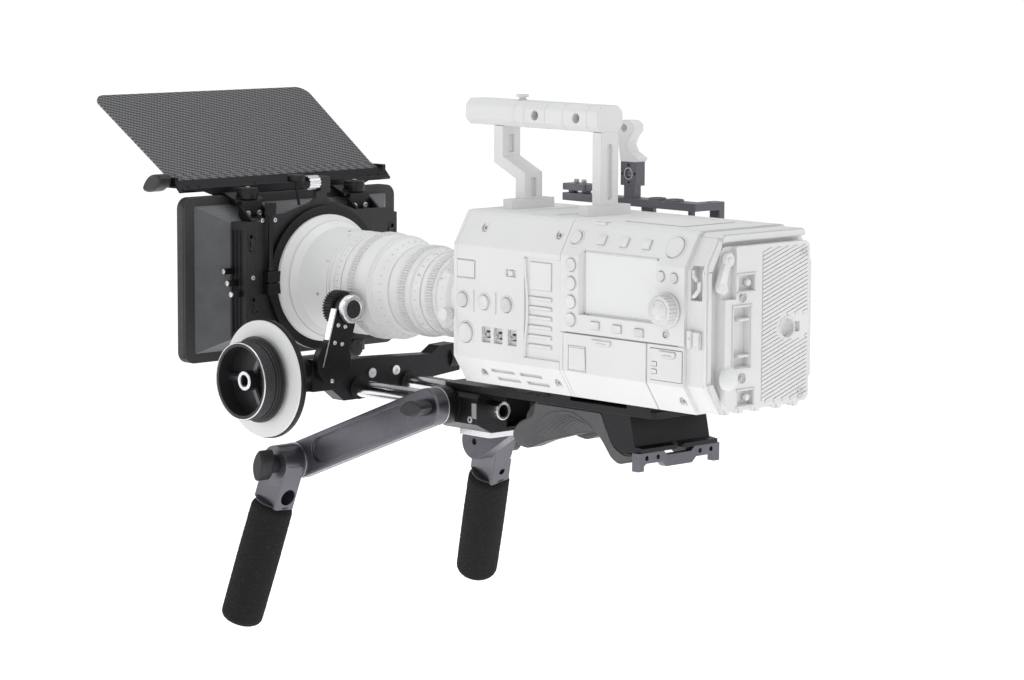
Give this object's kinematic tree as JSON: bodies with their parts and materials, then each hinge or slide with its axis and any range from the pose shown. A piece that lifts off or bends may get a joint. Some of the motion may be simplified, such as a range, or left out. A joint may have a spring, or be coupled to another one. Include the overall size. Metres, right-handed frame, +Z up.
{
  "type": "cinema camera rig",
  "caption": "Shoulder-mounted cinema camera with cine lens, matte box with top flag and filter trays, geared follow focus, rod base, shoulder pad and swinging hand grips.",
  "frame": {"origin": "centre of the mouth of the 3/8-16 tripod thread in the underside of the bright tripod plate", "axes": "+Z up; -Y is the way the lens points, so +Y runs from the lens to the battery; +X is the side of the controls and the handwheel, to the left of someone behind the camera"},
  "size_m": [0.3035, 0.7129, 0.4813],
  "materials": {
    "body_white": "fine matt white paint over cast aluminium",
    "lens_white": "satin white paint over turned aluminium",
    "key_white": "smooth moulded keys",
    "screen_white": "glossy display cover",
    "lens_glass": "coated glass",
    "board": "circuit board",
    "mount_steel": "satin stainless steel",
    "matte_black": "fine moulded black",
    "frame_rubber": "grey edged black rubber",
    "hood_grey": "fine textured hood cloth over board",
    "carbon": "carbon fibre twill",
    "tray_black": "black anodised",
    "dark_anodised": "violet grey anodised",
    "black_anodised": "black anodised",
    "bright_aluminium": "fine machined",
    "rod_steel": "polished tube",
    "disk_white": "writable white disk on black backing",
    "knob_black": "moulded knob",
    "belt_rubber": "drive belt",
    "foam": "closed cell foam",
    "pad_rubber": "moulded rubber pad"
  },
  "bodies": {
    "rig": {"head_shell": "body_white", "head_front_plate": "body_white", "sensor_block": "board", "recorder_shell": "body_white", "screen_panel": "screen_white", "battery_plate": "body_white", "handle_bar": "body_white", "handle_posts": "body_white", "side_arm": "dark_anodised", "viewfinder_bracket": "body_white", "lens_barrel": "lens_white", "front_element": "lens_glass", "mattebox_frame": "frame_rubber", "mattebox_hood": "hood_grey", "filter_stage": "matte_black", "lens_clamp_ring": "black_anodised", "flag_bracket": "black_anodised", "focus_bridge": "black_anodised", "focus_gearbox": "black_anodised", "focus_arm": "black_anodised", "focus_belt": "belt_rubber", "support_rods": "rod_steel", "bridge_block": "black_anodised", "tripod_plate": "bright_aluminium", "shoulder_plate": "black_anodised", "shoulder_pad": "pad_rubber", "rear_bracket": "dark_anodised", "right_arm": "dark_anodised", "face_screws": "bright_aluminium"},
    "lock_ring": {"mount_lock_ring": "lens_white"},
    "nd_control": {"nd_knob": "key_white"},
    "door": {"card_door": "body_white"},
    "side_keys": {"screen_keypad": "key_white"},
    "corner_keys": {"top_keypad": "key_white"},
    "front_keys": {"head_keypad": "key_white"},
    "toggles": {"head_toggles": "key_white"},
    "jog": {"jog_dial": "key_white"},
    "battery_lever": {"battery_release_lever": "key_white"},
    "focus": {"focus_ring": "lens_white"},
    "zoom": {"zoom_ring": "lens_white"},
    "iris": {"iris_ring": "lens_white"},
    "tray_front": {"filter_tray_1": "tray_black"},
    "tray_middle": {"filter_tray_2": "tray_black"},
    "tray_rear": {"filter_tray_3": "tray_black"},
    "lens_clamp_screw": {"clamp_screw": "black_anodised"},
    "flag": {"top_flag": "carbon"},
    "flag_lock": {"flag_lock_knob": "knob_black"},
    "stage_lock": {"stage_lock_knob": "bright_aluminium"},
    "handwheel": {"focus_handwheel": "knob_black", "marking_disk": "disk_white"},
    "output_shaft": {"focus_output_shaft": "mount_steel"},
    "pinion": {"focus_pinion": "knob_black"},
    "arm_left": {"left_arm": "dark_anodised"},
    "arm_knob_left": {"left_arm_knob": "knob_black"},
    "grip_left": {"left_grip_block": "dark_anodised", "left_foam_grip": "foam"},
    "grip_knob_left": {"left_grip_knob": "knob_black"},
    "grip_right": {"right_grip_block": "dark_anodised", "right_foam_grip": "foam"},
    "grip_knob_right": {"right_grip_knob": "knob_black"}
  },
  "joints": [
    {"name": "lock_ring_turn", "type": "hinge", "parent": "rig", "child": "lock_ring", "pos_m": [0, 0.005, 0.1145], "axis": [0, 1, 0], "range_deg": [0, 50]},
    {"name": "nd_turn", "type": "hinge", "parent": "rig", "child": "nd_control", "pos_m": [0.06, 0.0066, 0.1076], "axis": [1, 0, 0], "range_deg": [0, 270]},
    {"name": "door_open", "type": "hinge", "parent": "rig", "child": "door", "pos_m": [0.0498, 0.19, 0.0526], "axis": [0, 1, 0], "range_deg": [0, 95]},
    {"name": "side_keys_press", "type": "slide", "parent": "rig", "child": "side_keys", "axis": [-1, 0, 0], "range_m": [0, 0.0008], "stiffness_N_per_m": 2500},
    {"name": "corner_keys_press", "type": "slide", "parent": "rig", "child": "corner_keys", "axis": [-0.8599, 0, -0.5105], "range_m": [0, 0.0008], "stiffness_N_per_m": 2500},
    {"name": "front_keys_press", "type": "slide", "parent": "rig", "child": "front_keys", "axis": [-1, 0, 0], "range_m": [0, 0.0008], "stiffness_N_per_m": 2500},
    {"name": "toggles_tip", "type": "hinge", "parent": "rig", "child": "toggles", "pos_m": [0.059, 0.068, 0.0945], "axis": [0, 1, 0], "range_deg": [-15, 15]},
    {"name": "jog_turn", "type": "hinge", "parent": "rig", "child": "jog", "pos_m": [0.065, 0.2603, 0.1331], "axis": [1, 0, 0], "continuous": true},
    {"name": "battery_lever_turn", "type": "hinge", "parent": "rig", "child": "battery_lever", "pos_m": [0.044, 0.303, 0.1745], "axis": [0, -1, 0], "range_deg": [0, 25], "stiffness_Nm_per_rad": 0.1, "springref_deg": -11.46},
    {"name": "focus_turn", "type": "hinge", "parent": "rig", "child": "focus", "pos_m": [0, -0.137, 0.1145], "axis": [0, 1, 0], "range_deg": [-140, 140]},
    {"name": "zoom_turn", "type": "hinge", "parent": "rig", "child": "zoom", "pos_m": [0, -0.089, 0.1145], "axis": [0, 1, 0], "range_deg": [-45, 45]},
    {"name": "iris_turn", "type": "hinge", "parent": "rig", "child": "iris", "pos_m": [0, -0.056, 0.1145], "axis": [0, 1, 0], "range_deg": [-30, 30]},
    {"name": "tray_front_slide", "type": "slide", "parent": "rig", "child": "tray_front", "axis": [1, 0, 0], "range_m": [0, 0.15]},
    {"name": "tray_middle_slide", "type": "slide", "parent": "rig", "child": "tray_middle", "axis": [1, 0, 0], "range_m": [0, 0.15]},
    {"name": "tray_rear_slide", "type": "slide", "parent": "rig", "child": "tray_rear", "axis": [1, 0, 0], "range_m": [0, 0.15]},
    {"name": "clamp_screw_turn", "type": "hinge", "parent": "rig", "child": "lens_clamp_screw", "pos_m": [0.0642, -0.2276, 0.1145], "axis": [0, 0, 1], "range_deg": [-180, 180]},
    {"name": "flag_tilt", "type": "hinge", "parent": "rig", "child": "flag", "pos_m": [0, -0.2964, 0.2025], "axis": [-1, 0, 0], "range_deg": [-122, 57]},
    {"name": "flag_lock_turn", "type": "hinge", "parent": "rig", "child": "flag_lock", "pos_m": [0.13, -0.2964, 0.2025], "axis": [1, 0, 0], "range_deg": [-180, 180]},
    {"name": "stage_lock_turn", "type": "hinge", "parent": "rig", "child": "stage_lock", "pos_m": [0, -0.237, 0.2], "axis": [1, 0, 0], "range_deg": [-180, 180]},
    {"name": "handwheel_turn", "type": "hinge", "parent": "rig", "child": "handwheel", "pos_m": [0.12, -0.152, 0.043], "axis": [1, 0, 0], "range_deg": [-451, 451]},
    {"name": "output_turn", "type": "hinge", "parent": "rig", "child": "output_shaft", "pos_m": [0.078, -0.137, 0.043], "axis": [0, 1, 0], "range_deg": [-451, 451]},
    {"name": "pinion_turn", "type": "hinge", "parent": "rig", "child": "pinion", "pos_m": [0.05904, -0.137, 0.09956], "axis": [0, 1, 0], "range_deg": [-451, 451]},
    {"name": "left_arm_swing", "type": "hinge", "parent": "rig", "child": "arm_left", "pos_m": [0.066, -0.014, 0.0271], "axis": [1, 0, 0], "range_deg": [-8, 60]},
    {"name": "left_arm_knob_turn", "type": "hinge", "parent": "rig", "child": "arm_knob_left", "pos_m": [0.08, -0.014, 0.0271], "axis": [1, 0, 0], "range_deg": [-180, 180]},
    {"name": "left_grip_swing", "type": "hinge", "parent": "arm_left", "child": "grip_left", "pos_m": [0.084, -0.185, -0.0391], "axis": [1, 0, 0], "range_deg": [-60, 45]},
    {"name": "left_grip_knob_turn", "type": "hinge", "parent": "arm_left", "child": "grip_knob_left", "pos_m": [0.1, -0.185, -0.0391], "axis": [1, 0, 0], "range_deg": [-180, 180]},
    {"name": "right_grip_swing", "type": "hinge", "parent": "rig", "child": "grip_right", "pos_m": [-0.084, -0.096, -0.0255], "axis": [1, 0, 0], "range_deg": [-60, 45]},
    {"name": "right_grip_knob_turn", "type": "hinge", "parent": "rig", "child": "grip_knob_right", "pos_m": [-0.1, -0.096, -0.0255], "axis": [1, 0, 0], "range_deg": [-180, 180]}
  ],
  "couplings": [
    {"joint": "pinion_turn", "follows": "focus_turn", "ratio": -3.2222},
    {"joint": "output_turn", "follows": "focus_turn", "ratio": -3.2222},
    {"joint": "handwheel_turn", "follows": "focus_turn", "ratio": 3.2222}
  ]
}
